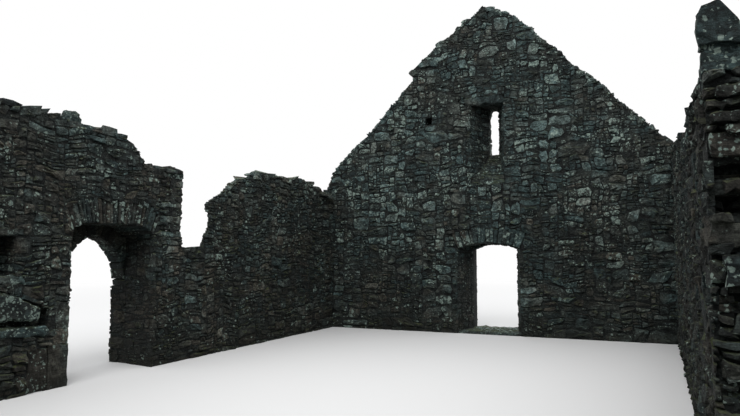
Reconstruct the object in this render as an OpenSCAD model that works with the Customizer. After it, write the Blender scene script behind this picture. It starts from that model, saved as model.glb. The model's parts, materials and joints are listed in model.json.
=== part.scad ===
// Roofless rubble-stone chapel: two gables, two broken side walls, two doorways and two lancets.
// The origin is on the ground at the middle of the plan, +Y towards the gable with the doorway.

/* [Plan] */
// Width of the nave between the side walls
nave_w = 6520; // [6000:20:7400]
// Length of the nave between the gables
nave_l = 12600; // [11800:100:14200]
// Thickness of the side walls
side_t = 850; // [750:10:1000]
// Thickness of the gables
gable_t = 850; // [750:10:1000]

/* [Gables] */
// Height of the gable where its rake starts, over the nave's side
rake_foot_h = 3400; // [3300:20:3600]
// Height of the knee where the rake flattens
rake_knee_h = 5400; // [5250:10:5600]
// Distance of that knee from the middle
rake_knee_x = 1250; // [1150:10:1350]
// Height of the apex
apex_h = 6330; // [6150:10:6700]
// Distance of the peak's shoulder right of the apex
shoulder_x = 550; // [450:10:650]
// Drop from the apex to that shoulder
shoulder_drop = 250; // [200:10:300]
// Height of the strip of stones that fell from the left rake
rake_loss = 200; // [100:10:260]
// Height of the fallen left corner of a gable at its outer edge
left_corner_h = 2560; // [2400:20:2700]
// Height of the right corner of a gable at its outer edge
right_corner_h = 3020; // [2900:20:3200]
// Height of the level course on which the window piers start
sill_course_h = 2840; // [2760:10:2900]

/* [Gable doorway] */
// Distance of the gable doorway right of the middle
door_x = 40; // [-200:10:200]
// Width of the gable doorway at the nave's side
door_rear_w = 1210; // [1050:10:1350]
// Width of the gable doorway at the outer side
door_front_w = 880; // [760:10:950]
// Height at which both arches of the gable doorway spring
door_spring_h = 1610; // [1500:10:1800]
// Rise of the rear arch of the gable doorway
door_rear_rise = 120; // [90:5:180]
// Rise of the front arch of the gable doorway
door_front_rise = 80; // [60:5:120]
// Thickness of the threshold slabs
threshold_h = 60; // [40:5:90]

/* [Side doorway] */
// Distance of the side doorway's middle from the gable with the doorway
side_door_s = 5940; // [5800:20:6200]
// Width of the side doorway at the nave's side
side_rear_w = 1340; // [1250:10:1400]
// Width of the side doorway at the outer side
side_front_w = 1080; // [980:10:1100]
// Distance by which the outer side of the side doorway lies nearer the gable
side_shift = 240; // [200:10:260]
// Height at which the rear arch of the side doorway springs
side_rear_spring_h = 1750; // [1650:10:1850]
// Rise of the rear arch of the side doorway
side_rear_rise = 140; // [100:5:180]
// Height at which the pointed front arch of the side doorway springs
side_front_spring_h = 1065; // [1000:5:1120]
// Rise of the pointed front arch of the side doorway
side_front_rise = 700; // [640:10:760]

/* [Arches] */
// Thickness of the front order of both doorways
front_order_t = 250; // [200:10:320]
// Height of the voussoirs of the rear arches
rear_ring_h = 290; // [260:10:330]
// Height of the voussoirs of the front arches
front_ring_h = 270; // [220:10:300]
// Distance by which the voussoirs' tops stray from the ring
ring_stray = 30; // [10:5:40]
// Number of voussoirs in the gable doorway's rear arch
rear_stones = 17; // [13:2:21]
// Number of voussoirs in the side doorway's rear arch
side_rear_stones = 25; // [19:2:27]
// How tightly that arch bends down at its haunches; between them it is flat
haunch_bend = 6; // [4:1:8]
// Number of voussoirs in the flat front arch
flat_stones = 11; // [9:2:13]
// Number of voussoirs in the pointed front arch
pointed_stones = 18; // [14:2:22]
// Width of the mortar joints between dressed stones
joint = 10; // [8:1:14]
// Masonry kept beside a rear arch as its bearing
arch_bearing = 300; // [220:10:340]

/* [Lancet windows] */
// Distance of the windows right of the middle
win_x = 50; // [-100:10:200]
// Width of the window's splayed embrasure at the nave's side
win_rear_w = 680; // [600:10:800]
// Width of the narrow light at the outer side
light_w = 200; // [150:10:240]
// Height of the light's sill above the ground
light_sill_h = 3490; // [3400:10:3600]
// Height of the flat head over the embrasure
win_head_h = 4400; // [4300:10:4480]
// Height of the light's side stones, up to its round head
light_side_h = 830; // [760:10:860]
// Thickness of the dressed frame round the light
frame_t = 220; // [180:10:260]
// Width of the frame stones beside the light
frame_w = 250; // [200:10:300]
// Height of the frame's sill stone
frame_sill_h = 200; // [150:10:240]
// Height of the frame's head stone
frame_head_h = 320; // [280:10:380]
// Thickness of each of the two slabs that span the embrasure
win_slab_t = 75; // [60:5:100]
// Bearing of the lower slab on each pier
win_slab_bearing = 110; // [90:10:160]
// Side of the square putlog hole
putlog_w = 150; // [120:10:180]
// Depth of the putlog hole
putlog_d = 350; // [250:10:450]
// Distance of the putlog hole left of the middle
putlog_x = 1130; // [1000:10:1300]
// Height of the putlog hole's middle
putlog_h = 4160; // [4000:10:4250]

/* [Left wall] */
// Width of the masonry between the side doorway and the breach
breach_pier_w = 550; // [500:10:700]
// Width of the breach at its sill
breach_w = 420; // [350:10:600]
// Height of the breach's sill
breach_sill_h = 1550; // [1400:10:1620]
// Angle at which the breach's broken end runs back through the wall
breach_skew = 51; // [46:1:56]
// Height of the masonry beside the breach
breach_jamb_h = 2700; // [2600:10:2800]
// Height of the wall over the side doorway
over_door_h = 3040; // [2900:20:3200]
// Height of the wall beyond the side doorway
left_h = 3110; // [3000:10:3250]
// Length of the wall beyond the side doorway that holds the niche
niche_wall_l = 2000; // [1800:50:2300]
// Radius of the boulder on the wall top
boulder_r = 110; // [90:5:150]

/* [Niche] */
// Distance of the niche's middle from the gable with the doorway
niche_s = 7560; // [7450:10:7800]
// Width of the niche
niche_w = 500; // [400:10:560]
// Height of the niche's floor
niche_sill_h = 1270; // [1240:10:1350]
// Height of the niche itself
niche_h = 430; // [350:10:480]
// Depth of the niche
niche_d = 350; // [250:10:420]
// Thickness of the slabs under and over the niche
niche_slab_t = 85; // [60:5:110]
// Bearing of these slabs at each end
niche_slab_bearing = 130; // [90:10:180]

/* [Hollow under the niche] */
// Distance of the hollow's end from the side doorway's jamb
hollow_start = 290; // [280:10:340]
// Length of the hollow
hollow_l = 860; // [700:20:1000]
// Height of the hollow's floor
hollow_sill_h = 705; // [660:5:730]
// Height of the hollow
hollow_h = 410; // [370:10:420]
// Depth of the hollow
hollow_d = 130; // [80:10:180]
// Depth of the block left in the hollow and of the slab under it
hollow_block_d = 360; // [300:10:450]
// Distance by which that block and that slab stand out of the wall
hollow_proud = 30; // [0:5:45]

/* [Right wall] */
// Length of the right wall that still stands by the gable with the doorway
right_run = 7700; // [7300:50:8000]
// Height of that wall at the gable
right_gable_h = 3360; // [3200:20:3420]
// Height of that wall at its broken end
right_end_h = 2640; // [2580:10:2760]
// Width of the breach in the right wall
right_breach_w = 2300; // [2000:50:2600]
// Height of the footing left in that breach
footing_h = 380; // [250:10:440]
// Height of the wall beyond the breach
right_far_h = 2980; // [2800:20:3100]
// Distance by which the longest bonding stones stand out of the broken end
bonder_reach = 110; // [80:5:130]
// Depth of the hollows left where facing stones fell from that end
socket_d = 130; // [80:10:180]
// Height of the upright stone on the broken end
upright_h = 270; // [240:10:310]
// Width of the upright stone
upright_w = 220; // [190:10:260]
// Thickness of the upright stone
upright_t = 240; // [180:10:300]
// Thickness of each of the thin slabs under the upright stone
bed_slab_t = 55; // [45:5:65]

/* [Dressed corner stones] */
// Number of corner stones up the breach in the left wall
breach_quoins = 9; // [7:1:11]
// Distance by which the topmost of them leans out over the breach
breach_lean = 40; // [20:5:60]
// Long side of a corner stone
quoin_long = 430; // [380:10:480]
// Short side of a corner stone
quoin_short = 260; // [220:10:300]
// Width of the block at the foot of the side doorway's near jamb
jamb_block_w = 270; // [220:10:300]
// Height of that block
jamb_block_h = 490; // [420:10:540]
// Width of the stone that stands on end on that block
jamb_upright_w = 180; // [140:10:220]
// Height of the stone that stands on end
jamb_upright_h = 490; // [420:10:560]

/* [Broken masonry] */
// Distance between the stones that show along a broken edge
edge_step = 260; // [180:10:400]
// Distance by which a broken edge strays
edge_stray = 38; // [10:2:60]

/* [Hidden] */

outer_w = nave_w + 2 * side_t;
outer_l = nave_l + 2 * gable_t;
left_face = -nave_w / 2;
right_face = nave_w / 2;
rake_foot_x = nave_w / 2;
// Steps of the outline where the left rake has lost its outer stones
corner_shelf_x = 150;
corner_shelf_h = 290;
notch_x = 160;
notch_bite = 130;
// The jamb's second block is this much smaller than the first
jamb_stagger = 20;
// Share of the height of the jamb's stone on end that lies in the small stone under it
jamb_pad = 0.35;
// Share of its thickness by which a voussoir's joint strays
thickness_stray = 0.22;
// Forms of an arch: one arc, flat between bent haunches, or pointed
arc = 0;
flat = 1;
pointed = 2;
// A cut runs this far past the face that it opens
past = 60;
// Taller than any wall
sky = 2 * apex_h;
// Stones that bond the right wall's broken end: level, thickness, distance from the nave's face,
// width, and share of the longest reach
bonding_stones = [
    [520, 120, 200, 420, 0.7], [700, 100, 500, 320, 0.8], [770, 90, 40, 300, 0.5],
    [1050, 110, 110, 340, 0.6], [1230, 70, 470, 340, 0.6], [1330, 185, 70, 380, 1],
    [1555, 125, 0, 330, 0.45], [1680, 50, 10, 110, 0.8], [1800, 120, 480, 350, 0.7],
    [1870, 68, 85, 320, 0.7], [2075, 135, 10, 360, 0.55], [2150, 80, 520, 300, 0.9],
    [2214, 38, 110, 220, 0.8], [2276, 44, 25, 280, 0.75], [2370, 55, 0, 300, 0.35],
    [2440, 60, 60, 480, 0.7]
];
// Hollows where facing stones fell from that end: level, height, distance from the nave's face, width
fallen_stones = [
    [640, 110, 60, 380], [1170, 130, 60, 360], [1735, 120, 30, 400], [1945, 110, 20, 440], [2320, 45, 60, 420]
];

side_door_start = side_door_s - side_rear_w / 2;
side_door_end = side_door_s + side_rear_w / 2;
breach_end = side_door_start - breach_pier_w;
breach_start = breach_end - breach_w;
niche_wall_end = side_door_end + niche_wall_l;
right_far_start = right_run + right_breach_w;
light_spring_h = light_sill_h + light_side_h;

stone = [0.27, 0.31, 0.29];
dressed = [0.38, 0.43, 0.41];

// Place along the side walls, measured from the inner face of the gable with the doorway
function at(s) = nave_l / 2 - s;

// Fixed number between -1 and 1 that looks random
function stray(i) = 2 * (sin(i * 79 + 13) * 437.5 - floor(sin(i * 79 + 13) * 437.5)) - 1;

// Broken edge from a to b, without b: each point strays square to the line
function broken_edge(a, b, seed) =
    let (n = max(1, round(norm(b - a) / edge_step)), side = [a.y - b.y, b.x - a.x] / norm(b - a))
    [for (k = [0 : n - 1]) a + (b - a) * k / n + (k == 0 ? [0, 0] : side * edge_stray * stray(seed + k))];

function broken_path(p, seed) =
    concat([for (i = [0 : len(p) - 2]) each broken_edge(p[i], p[i + 1], seed + 9 * i)], [p[len(p) - 1]]);

// Closes a broken top down to the ground
function standing(p) = concat([[p[0].x, 0]], p, [[p[len(p) - 1].x, 0]]);

// Top of a gable from left to right, as broken as it is
function rake_path() = [
    [-outer_w / 2, left_corner_h],
    [-rake_foot_x - corner_shelf_x, left_corner_h + corner_shelf_h],
    [-rake_foot_x, rake_foot_h - rake_loss],
    [-rake_knee_x - notch_x, rake_knee_h - notch_x - rake_loss],
    [-rake_knee_x - notch_x - notch_bite, rake_knee_h - notch_x - rake_loss + notch_bite],
    [-rake_knee_x, rake_knee_h],
    [0, apex_h],
    [shoulder_x, apex_h - shoulder_drop],
    [rake_knee_x, rake_knee_h],
    [rake_foot_x, rake_foot_h],
    [outer_w / 2, right_corner_h]
];

// Arches: radius, half angle, and a point at an angle and a height over the soffit
function arch_r(w, rise, form) = (w * w / 4 + rise * rise) / (form == pointed ? w : 2 * rise);
function arch_half(w, rise, form) =
    let (r = arch_r(w, rise, form))
    form == pointed ? acos(1 - w / 2 / r) : asin(w / 2 / r);
function arch_point(w, rise, spring, up, a, form) =
    form == pointed ? pointed_point(w, rise, spring, up, a) : bent_point(w, rise, spring, up, a, form);
function bent_point(w, rise, spring, up, a, form) =
    let (r = arch_r(w, rise, form), across = abs(2 * r * sin(a) / w))
    let (drop = form == flat ? rise * pow(across, haunch_bend) : r - r * cos(a))
    [(r + up) * sin(a), spring + rise - drop + up * cos(a)];
function pointed_point(w, rise, spring, up, a) =
    let (r = arch_r(w, rise, pointed), out = r + up, beyond = r - w / 2, turn = asin(beyond / r) + abs(a))
    a == 0 ? [0, spring + sqrt(out * out - beyond * beyond)]
        : [sign(a) * (out * sin(turn) - beyond), spring + out * cos(turn)];

// Angle of joint i: split slates are never equally thick, so the joints between them stray,
// but for the one at the point
function joint_angle(w, rise, n, i, form) =
    let (fixed = i % n == 0 || (form == pointed && 2 * i == n))
    arch_half(w, rise, form) * (2 * (i + (fixed ? 0 : thickness_stray * stray(i))) / n - 1);
function soffit_line(w, rise, spring, n, form) =
    [for (i = [0 : n]) arch_point(w, rise, spring, 0, joint_angle(w, rise, n, i, form), form)];

// The two upper corners of voussoir i, whose height strays too
function voussoir_top(w, rise, spring, ring, n, i, form) =
    let (up = ring + ring_stray * stray(i + n))
    [for (k = [i, i + 1]) arch_point(w, rise, spring, up, joint_angle(w, rise, n, k, form), form)];

// One voussoir between its lower and upper corners, half a joint short of its neighbours
function shortened(a, b) = let (u = (b - a) / norm(b - a) * joint / 2) [a + u, b - u];
function voussoir(low, high) =
    let (a = shortened(low[0], low[1]), b = shortened(high[0], high[1])) [a[0], a[1], b[1], b[0]];

// Lifts a profile drawn in width and height, from depth y to depth y + t
module upright(y, t) {
    translate([0, y + t, 0])
        rotate([90, 0, 0])
            linear_extrude(t)
                children();
}

module gable_mass(y, seed) {
    upright(y, gable_t)
        polygon(standing(broken_path(rake_path(), seed)));
}

module door_gable_mass() gable_mass(nave_l / 2, 3);

module end_gable_mass() gable_mass(-nave_l / 2 - gable_t, 41);

// Piece of side wall whose top follows a path of places along the wall and heights
module side_wall(x, path, seed) {
    translate([x, 0, 0])
        rotate([90, 0, 90])
            linear_extrude(side_t)
                polygon([for (p = standing(broken_path(path, seed))) [at(p.x), p.y]]);
}

// Everything between two heights and two places across the chapel
module zone(x0, x1, z0, z1) {
    translate([x0, -outer_l, z0])
        cube([x1 - x0, 2 * outer_l, z1 - z0]);
}

// Everything between two places along the side walls
module stretch(s0, s1) {
    translate([-outer_w, at(s1), 0])
        cube([2 * outer_w, s1 - s0, sky]);
}

// Doorways are drawn with x across, y from the nave's side outwards and z up
module at_gable_door() {
    translate([door_x, nave_l / 2, 0])
        children();
}

module at_side_door() {
    translate([left_face, at(side_door_s), 0])
        rotate([0, 0, 90])
            children();
}

module at_window() {
    translate([win_x, nave_l / 2, 0])
        children();
}

module at_end_window() {
    mirror([0, 1, 0])
        at_window()
            children();
}

// Plan of a splayed doorway: wide at the nave's side and straight through the front order
module jamb_plan(rear_w, front_w, shift, t, over) {
    rear_t = t - front_order_t;
    front_l = shift - front_w / 2;
    front_r = shift + front_w / 2;
    polygon([
        [-rear_w / 2, -over], [rear_w / 2, -over], [rear_w / 2, 0], [front_r, rear_t],
        [front_r, t + over], [front_l, t + over], [front_l, rear_t], [-rear_w / 2, 0]
    ]);
}

// Room under an arch, above the springing
module soffit_room(w, rise, spring, n, form) {
    polygon(soffit_line(w, rise, spring, n, form));
}

// Room of an arch and its ring, stepped as the voussoirs' tops are
module arch_room(w, rise, spring, ring, n, form) {
    tops = [for (i = [0 : n - 1]) each voussoir_top(w, rise, spring, ring, n, i, form)];
    polygon(concat([[-w / 2, spring]], tops, [[w / 2, spring]]));
}

module voussoirs(w, rise, spring, ring, n, y, t, form) {
    low = soffit_line(w, rise, spring, n, form);
    for (i = [0 : n - 1])
        upright(y, t)
            polygon(voussoir([low[i], low[i + 1]], voussoir_top(w, rise, spring, ring, n, i, form)));
}

// Masonry over a doorway: it starts at the springing, which may be lower at the front
module head_room(left, right, rear_spring, front_spring, top, t) {
    rear_t = t - front_order_t;
    translate([-left, 0, rear_spring])
        cube([left + right, rear_t, top - rear_spring]);
    translate([-left, rear_t, front_spring])
        cube([left + right, front_order_t, top - front_spring]);
}

// Top of a splayed jamb, carried up to the soffit of the rear arch
module jamb_top(rear_w, rise, spring, n, form, front_w, shift, t) {
    difference() {
        upright(0, t - front_order_t)
            soffit_room(rear_w, rise, spring, n, form);
        translate([0, 0, spring - past])
            linear_extrude(rise + 2 * past)
                jamb_plan(rear_w, front_w, shift, t, past);
    }
}

// Gable doorway
module gable_door_way(top) {
    translate([0, 0, -past])
        linear_extrude(top + past)
            jamb_plan(door_rear_w, door_front_w, 0, gable_t, past);
}

module gable_door_head_room() {
    half = door_rear_w / 2 + arch_bearing;
    head_room(half, half, door_spring_h, door_spring_h, sill_course_h, gable_t);
}

module gable_door_jamb_top() {
    jamb_top(door_rear_w, door_rear_rise, door_spring_h, rear_stones, arc, door_front_w, 0, gable_t);
}

module door_gable_side(x0, x1) {
    difference() {
        intersection() {
            door_gable_mass();
            zone(x0, x1, 0, sill_course_h);
        }
        at_gable_door() {
            gable_door_way(door_spring_h);
            gable_door_head_room();
        }
    }
    intersection() {
        at_gable_door()
            gable_door_jamb_top();
        zone(x0, x1, 0, sky);
    }
}

module door_gable_left() {
    color(stone)
        door_gable_side(-outer_w, door_x);
}

module door_gable_right() {
    color(stone)
        door_gable_side(door_x, outer_w);
}

module door_gable_head() {
    color(stone)
        at_gable_door()
            difference() {
                gable_door_head_room();
                upright(-past, gable_t - front_order_t + past)
                    arch_room(door_rear_w, door_rear_rise, door_spring_h, rear_ring_h, rear_stones, arc);
                upright(gable_t - front_order_t - past, front_order_t + 2 * past)
                    arch_room(door_front_w, door_front_rise, door_spring_h, front_ring_h, flat_stones, arc);
            }
}

module gable_door_rear_arch() {
    color(dressed)
        at_gable_door()
            voussoirs(door_rear_w, door_rear_rise, door_spring_h, rear_ring_h, rear_stones,
                0, gable_t - front_order_t, arc);
}

module gable_door_front_arch() {
    color(dressed)
        at_gable_door()
            voussoirs(door_front_w, door_front_rise, door_spring_h, front_ring_h, flat_stones,
                gable_t - front_order_t, front_order_t, arc);
}

// Three slabs across the doorway, fitted between its jambs
module gable_door_threshold() {
    slabs = 3;
    slab_d = (gable_t + joint) / slabs;
    color(dressed)
        at_gable_door()
            intersection() {
                linear_extrude(threshold_h)
                    jamb_plan(door_rear_w, door_front_w, 0, gable_t, 0);
                for (i = [0 : slabs - 1])
                    translate([-door_rear_w, i * slab_d, 0])
                        cube([2 * door_rear_w, slab_d - joint, threshold_h]);
            }
}

// Lancet window: embrasure, sloping sill, frame of dressed stones and flat slab
module embrasure_plan(over) {
    depth = gable_t - frame_t;
    polygon([
        [-win_rear_w / 2, -over], [win_rear_w / 2, -over], [win_rear_w / 2, 0],
        [light_w / 2, depth], [-light_w / 2, depth], [-win_rear_w / 2, 0]
    ]);
}

module embrasure() {
    translate([0, 0, sill_course_h - past])
        linear_extrude(win_head_h - sill_course_h + past)
            embrasure_plan(past);
}

// Block at the outer face, beside the light's middle
module frame_block(half, z0, z1) {
    translate([-half, gable_t - frame_t, z0])
        cube([2 * half, frame_t, z1 - z0]);
}

module frame_room() {
    frame_block(light_w / 2 + frame_w, light_sill_h - frame_sill_h, light_spring_h + frame_head_h);
}

// Two slabs over the embrasure: the upper one runs further on to its left
module rear_slabs() {
    half = win_rear_w / 2 + win_slab_bearing;
    depth = gable_t - frame_t;
    translate([-half, 0, win_head_h])
        cube([2 * half, depth, win_slab_t]);
    translate([-half - win_slab_bearing, 0, win_head_h + win_slab_t])
        cube([2 * half, depth, win_slab_t]);
}

module sloping_sill() {
    depth = gable_t - frame_t;
    difference() {
        intersection() {
            translate([0, 0, sill_course_h])
                linear_extrude(light_sill_h - sill_course_h)
                    embrasure_plan(0);
            translate([-win_rear_w / 2, 0, 0])
                rotate([90, 0, 90])
                    linear_extrude(win_rear_w)
                        polygon([[0, sill_course_h], [depth, sill_course_h], [depth, light_sill_h]]);
        }
        frame_room();
    }
}

module frame_stones() {
    sides = 3;
    side_h = light_side_h / sides;
    half = light_w / 2 + frame_w;
    frame_block(half, light_sill_h - frame_sill_h, light_sill_h - joint);
    for (i = [0 : sides - 1], x = [-half, light_w / 2])
        translate([x, gable_t - frame_t, light_sill_h + i * side_h])
            cube([frame_w, frame_t, side_h - joint]);
    difference() {
        frame_block(half, light_spring_h, light_spring_h + frame_head_h);
        translate([0, gable_t + past, light_spring_h])
            rotate([90, 0, 0])
                cylinder(h = frame_t + 2 * past, r = light_w / 2, $fn = 48);
    }
}

module window_sloping_sill() {
    color(stone)
        at_window()
            sloping_sill();
}

module window_frame() {
    color(dressed)
        at_window()
            frame_stones();
}

module window_rear_slab() {
    color(dressed)
        at_window()
            rear_slabs();
}

module door_gable_window_pier_left() {
    color(stone)
        difference() {
            intersection() {
                door_gable_mass();
                zone(-outer_w, win_x, sill_course_h, win_head_h);
            }
            at_window() {
                embrasure();
                frame_room();
            }
            translate([-putlog_x - putlog_w / 2, nave_l / 2 - past, putlog_h - putlog_w / 2])
                cube([putlog_w, putlog_d + past, putlog_w]);
        }
}

module door_gable_window_pier_right() {
    color(stone)
        difference() {
            intersection() {
                door_gable_mass();
                zone(win_x, outer_w, sill_course_h, win_head_h);
            }
            at_window() {
                embrasure();
                frame_room();
            }
        }
}

module door_gable_peak() {
    color(stone)
        difference() {
            intersection() {
                door_gable_mass();
                zone(-outer_w, outer_w, win_head_h, sky);
            }
            at_window() {
                rear_slabs();
                frame_room();
            }
        }
}

// Left wall, from the gable with the doorway to the other one
left_wall_x = left_face - side_t;

// Piece of the left wall whose broken top runs back askew from the nave's face to the outer one
module skewed_wall(s_end, path, seed) {
    outline = [for (p = standing(broken_path(path, seed))) [at(p.x) * cos(breach_skew), p.y]];
    intersection() {
        translate([left_face, 0, 0])
            rotate([0, 0, -breach_skew])
                translate([-nave_l, 0, 0])
                    rotate([90, 0, 90])
                        linear_extrude(2 * nave_l)
                            polygon(outline);
        translate([left_wall_x, at(s_end), 0])
            cube([side_t, s_end, sky]);
    }
}

module left_wall_corner() {
    color(stone) {
        side_wall(left_wall_x, [[0, breach_sill_h], [breach_start, breach_sill_h]], 27);
        skewed_wall(breach_start, [
            [0, left_corner_h + 90], [600, left_corner_h + 220], [1450, left_corner_h + 370],
            [2900, left_corner_h + 350], [breach_start - 950, left_corner_h + 170],
            [breach_start - 520, left_corner_h - 90], [breach_start - 220, left_corner_h - 240],
            [breach_start - 210, breach_sill_h + 390], [breach_start - 90, breach_sill_h + 230],
            [breach_start, breach_sill_h]
        ], 7);
    }
}

module left_wall_breach_sill() {
    color(stone)
        side_wall(left_wall_x, [[breach_start, breach_sill_h], [breach_end, breach_sill_h]], 12);
}

module door_stretch_mass() {
    side_wall(left_wall_x, [
        [breach_end, breach_jamb_h], [side_door_start + 190, breach_jamb_h],
        [side_door_s - 260, over_door_h - 90], [side_door_s, over_door_h], [side_door_end, over_door_h],
        [niche_s - 130, left_h], [niche_wall_end, left_h]
    ], 19);
}

module side_door_way() {
    translate([0, 0, -past])
        linear_extrude(side_rear_spring_h + past)
            jamb_plan(side_rear_w, side_front_w, side_shift, side_t, past);
}

module side_door_head_room() {
    head_room(side_rear_w / 2 + arch_bearing, side_rear_w / 2 + breach_pier_w,
        side_rear_spring_h, side_front_spring_h, sky, side_t);
}

// Level of corner stone i: they are not all equally thick
function quoin_h(i) =
    let (low = side_rear_spring_h, course = (breach_jamb_h - edge_stray - low) / breach_quoins)
    low + course * (i + (i % breach_quoins == 0 ? 0 : thickness_stray * stray(i + 5)));

// Corner stones up the edge of the breach, at the nave's side: the odd ones run long the other way,
// and the higher ones lean a little out over the breach
module breach_corner(gap) {
    translate([left_face, at(breach_end), 0])
        rotate([0, 0, 180])
            for (i = [0 : breach_quoins - 1]) {
                out = breach_lean * (i + abs(stray(i))) / breach_quoins;
                long_way = i % 2 == 0;
                translate([0, -out, quoin_h(i)])
                    cube([
                        long_way ? quoin_short : quoin_long, out + (long_way ? quoin_long : quoin_short),
                        quoin_h(i + 1) - quoin_h(i) - gap
                    ]);
            }
}

module left_wall_breach_quoins() {
    color(dressed)
        breach_corner(joint);
}

// Stones at the foot of the side doorway's near jamb: two blocks, a small stone and a stone on end
module near_jamb(gap) {
    pad_h = jamb_pad * jamb_upright_h;
    difference() {
        translate([left_face, at(side_door_end), 0])
            rotate([0, 0, 180]) {
                translate([0, -quoin_short, 0])
                    cube([quoin_long, quoin_short + jamb_block_w - gap, jamb_block_h - gap]);
                translate([0, jamb_block_w, 0])
                    cube([quoin_short, jamb_block_w - jamb_stagger, jamb_block_h - jamb_stagger]);
                translate([0, -quoin_short, jamb_block_h])
                    cube([quoin_short, quoin_short + jamb_upright_w + jamb_stagger, pad_h - gap]);
                translate([0, -quoin_short, jamb_block_h + pad_h])
                    cube([quoin_short, quoin_short + jamb_upright_w, jamb_upright_h - pad_h - gap]);
            }
        at_side_door()
            side_door_way();
    }
}

module side_door_jamb_stones() {
    color(dressed)
        near_jamb(joint);
}

module side_door_pier() {
    color(stone)
        difference() {
            intersection() {
                door_stretch_mass();
                stretch(breach_end, side_door_s);
            }
            at_side_door() {
                side_door_way();
                side_door_head_room();
            }
        }
}

module side_door_head() {
    rear_t = side_t - front_order_t;
    rear_spring = side_rear_spring_h;
    front_spring = side_front_spring_h;
    color(stone)
        difference() {
            intersection() {
                door_stretch_mass();
                at_side_door()
                    side_door_head_room();
            }
            at_side_door() {
                upright(-past, rear_t + past)
                    arch_room(side_rear_w, side_rear_rise, rear_spring, rear_ring_h, side_rear_stones, flat);
                translate([side_shift, 0, 0])
                    upright(rear_t, front_order_t + past)
                        arch_room(side_front_w, side_front_rise, front_spring, front_ring_h, pointed_stones,
                            pointed);
            }
            breach_corner(0);
        }
}

module side_door_rear_arch() {
    color(dressed)
        at_side_door()
            voussoirs(side_rear_w, side_rear_rise, side_rear_spring_h, rear_ring_h, side_rear_stones,
                0, side_t - front_order_t, flat);
}

module side_door_front_arch() {
    color(dressed)
        at_side_door()
            translate([side_shift, 0, 0])
                voussoirs(side_front_w, side_front_rise, side_front_spring_h, front_ring_h, pointed_stones,
                    side_t - front_order_t, front_order_t, pointed);
}

module left_wall_niche_stretch() {
    color(stone) {
        difference() {
            intersection() {
                door_stretch_mass();
                stretch(side_door_s, niche_wall_end);
            }
            at_side_door() {
                side_door_way();
                side_door_head_room();
            }
            near_jamb(0);
            niche_room();
            niche_slab(niche_sill_h - niche_slab_t);
            niche_slab(niche_sill_h + niche_h);
            hollow_room();
            hollow_block();
            ledge_slab();
        }
        intersection() {
            at_side_door()
                jamb_top(side_rear_w, side_rear_rise, side_rear_spring_h, side_rear_stones, flat,
                    side_front_w, side_shift, side_t);
            stretch(side_door_s, side_door_end);
        }
    }
}

// Niche in the nave's side of the wall, between two long slabs
module niche_room() {
    translate([left_face - niche_d, at(niche_s + niche_w / 2), niche_sill_h])
        cube([niche_d + past, niche_w, niche_h]);
}

module niche_slab(z) {
    half = niche_w / 2 + niche_slab_bearing;
    translate([left_face - niche_d, at(niche_s + half), z])
        cube([niche_d, 2 * half, niche_slab_t]);
}

module niche_sill_slab() {
    color(dressed)
        niche_slab(niche_sill_h - niche_slab_t);
}

module niche_lintel() {
    color(dressed)
        niche_slab(niche_sill_h + niche_h);
}

// Hollow from which facing stones were robbed, with one block left in it and a long slab for its floor.
// Outlines are drawn in shares of the hollow's length and height, from its end by the doorway.
module hollow_shape(shares, depth, proud) {
    start = side_door_end + hollow_start;
    translate([left_face - depth, 0, 0])
        rotate([90, 0, 90])
            linear_extrude(depth + proud)
                polygon([for (p = shares) [at(start + p.x * hollow_l), hollow_sill_h + p.y * hollow_h]]);
}

module hollow_room() {
    hollow_shape([[0, 0], [1, 0.1], [1, 1.03], [0.7, 1.06], [0.45, 0.9], [-0.03, 0.48]], hollow_d, past);
}

module hollow_block() {
    hollow_shape([[0.13, 0.2], [0.96, 0.28], [0.97, 0.98], [0.71, 1.01], [0.46, 0.85], [0.11, 0.53]],
        hollow_block_d, hollow_proud);
}

module ledge_slab() {
    hollow_shape([[0, -0.25], [1.15, -0.13], [1.15, 0.115], [0, 0]], hollow_block_d, hollow_proud);
}

module left_wall_hollow_block() {
    color(dressed)
        hollow_block();
}

module left_wall_ledge_slab() {
    color(dressed)
        ledge_slab();
}

// Loose boulder bedded on the wall top over the side doorway
module wall_top_boulder() {
    bedded_h = over_door_h + 0.7 * boulder_r;
    color(dressed)
        difference() {
            translate([left_face - 1.3 * boulder_r, at(side_door_end - boulder_r / 2), bedded_h])
                sphere(r = boulder_r, $fn = 48);
            door_stretch_mass();
        }
}

module left_wall_far() {
    color(stone)
        side_wall(left_wall_x, [
            [niche_wall_end, left_h], [niche_wall_end + 900, left_h + 60], [nave_l - 2000, left_h - 120],
            [nave_l - 900, left_h - 260], [nave_l, left_h - 180]
        ], 23);
}

// Right wall
module right_wall_corner() {
    color(stone)
        difference() {
            side_wall(right_face, [
                [0, right_gable_h], [1400, right_gable_h - 250], [right_run - 4200, right_end_h + 230],
                [right_run - 2850, right_end_h + 60], [right_run - 1750, right_end_h + 70],
                [right_run - 1000, right_end_h + 10], [right_run - quoin_long, right_end_h],
                [right_run, right_end_h]
            ], 31);
            end_bonders();
            end_sockets();
            end_upright();
        }
}

module end_bonders() {
    for (b = bonding_stones)
        translate([right_face + b[2], at(right_run) - b[4] * bonder_reach, b[0]])
            cube([b[3], b[4] * bonder_reach + quoin_long, b[1]]);
}

module end_sockets() {
    for (f = fallen_stones)
        translate([right_face + f[2], at(right_run) - past, f[0]])
            cube([f[3], socket_d + past, f[1]]);
}

module right_wall_end_quoins() {
    color(dressed)
        end_bonders();
}

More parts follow.
